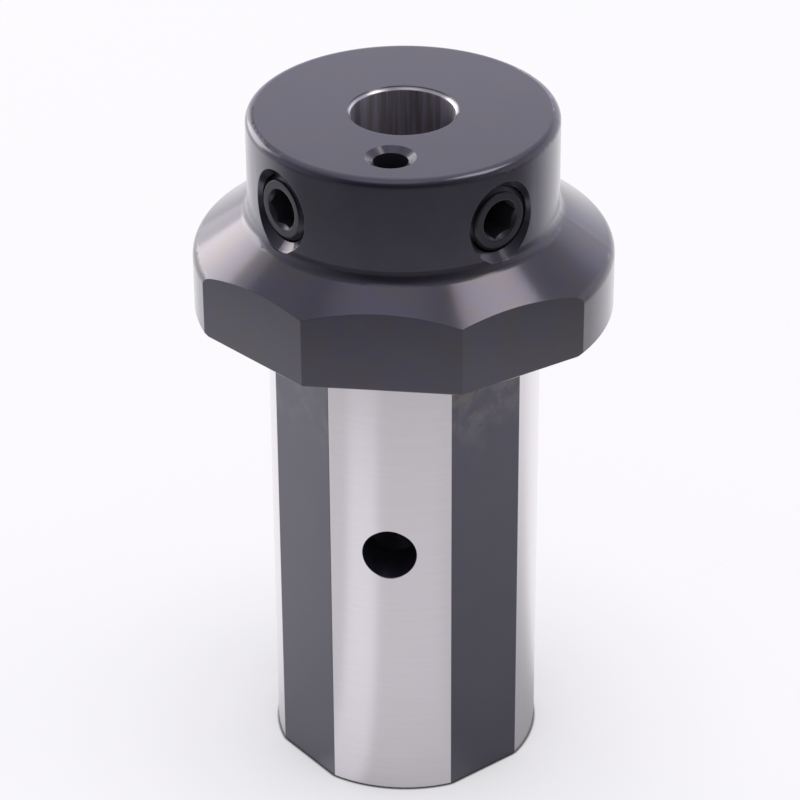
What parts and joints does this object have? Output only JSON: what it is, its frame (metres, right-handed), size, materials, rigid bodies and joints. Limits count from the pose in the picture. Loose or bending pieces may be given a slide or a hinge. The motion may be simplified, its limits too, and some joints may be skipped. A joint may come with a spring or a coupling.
{
  "type": "boring bar holder",
  "caption": "Cylindrical shank with clamping flats, a flatted conical flange and a round head whose bore takes a boring bar, locked by radial set screws, with a coolant passage beside the bore.",
  "frame": {"origin": "centre of the shank's end face, on the axis of the bore", "axes": "+Z along the bore's axis from the shank's end to the head's top face; -Y is the front, the side of the coolant inlet in the shank and of the coolant outlet in the top face"},
  "size_m": [0.049, 0.046, 0.084],
  "materials": {
    "holder_steel": "black oxide, with the shank's cylindrical lands and the bore ground bright",
    "screw_steel": "black oxide"
  },
  "bodies": {
    "holder": {"holder_body": "holder_steel"},
    "screw_1": {"set_screw_1": "screw_steel"},
    "screw_2": {"set_screw_2": "screw_steel"}
  },
  "joints": [
    {"name": "screw_1_travel", "type": "slide", "parent": "holder", "child": "screw_1", "axis": [0.7071, -0.7071, 0], "range_m": [-0.0024, 0.0006]},
    {"name": "screw_2_travel", "type": "slide", "parent": "holder", "child": "screw_2", "axis": [-0.7071, -0.7071, 0], "range_m": [-0.0024, 0.0006]}
  ]
}
